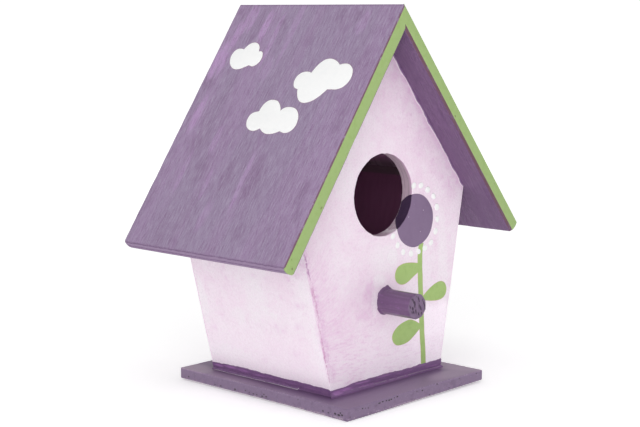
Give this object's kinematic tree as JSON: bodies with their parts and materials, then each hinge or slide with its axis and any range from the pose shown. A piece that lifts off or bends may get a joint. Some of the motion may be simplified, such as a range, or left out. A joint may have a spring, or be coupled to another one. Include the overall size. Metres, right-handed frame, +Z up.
{
  "type": "birdhouse",
  "caption": "Small painted wooden birdhouse: flared walls on a flat base board, a steep gabled roof with wide eaves, a round entry hole and a dowel perch.",
  "frame": {"origin": "under the middle of the base board, on the surface it stands on, which is also the middle of the whole outline seen from above", "axes": "+Z up; the front wall with the entry hole and the perch faces -Y; +X is to the right when looking at the front"},
  "size_m": [0.1286, 0.0964, 0.1496],
  "materials": {
    "purple_paint": "thin brushed craft acrylic, dusty purple, over fine-grained plywood, satin",
    "lilac_paint": "pale lilac craft acrylic dabbed with a pink sponge over plywood, matt",
    "plum_paint": "dark plum brushed craft acrylic on a hardwood dowel and inside the house, matt",
    "green_paint": "opaque leaf green craft acrylic, on the roof's front edges and for the painted stem and leaves, matt",
    "white_paint": "thick white craft acrylic, for the painted clouds and dots, matt",
    "pin_steel": "plain drawn steel wire"
  },
  "bodies": {
    "root": {"base_board": "purple_paint", "front_wall": "lilac_paint", "back_wall": "lilac_paint", "left_wall": "lilac_paint", "right_wall": "lilac_paint", "left_roof_panel": "purple_paint", "right_roof_panel": "purple_paint", "perch_dowel": "plum_paint", "left_roof_front_pin_upper": "pin_steel", "left_roof_front_pin_lower": "pin_steel", "left_roof_back_pin_upper": "pin_steel", "left_roof_back_pin_lower": "pin_steel", "right_roof_front_pin_upper": "pin_steel", "right_roof_front_pin_lower": "pin_steel", "right_roof_back_pin_upper": "pin_steel", "right_roof_back_pin_lower": "pin_steel", "front_left_corner_pin_upper": "pin_steel", "front_left_corner_pin_lower": "pin_steel", "front_right_corner_pin_upper": "pin_steel", "front_right_corner_pin_lower": "pin_steel", "back_left_corner_pin_upper": "pin_steel", "back_left_corner_pin_lower": "pin_steel", "back_right_corner_pin_upper": "pin_steel", "back_right_corner_pin_lower": "pin_steel", "base_front_pin_left": "pin_steel", "base_front_pin_right": "pin_steel", "base_back_pin_left": "pin_steel", "base_back_pin_right": "pin_steel"}
  },
  "joints": []
}
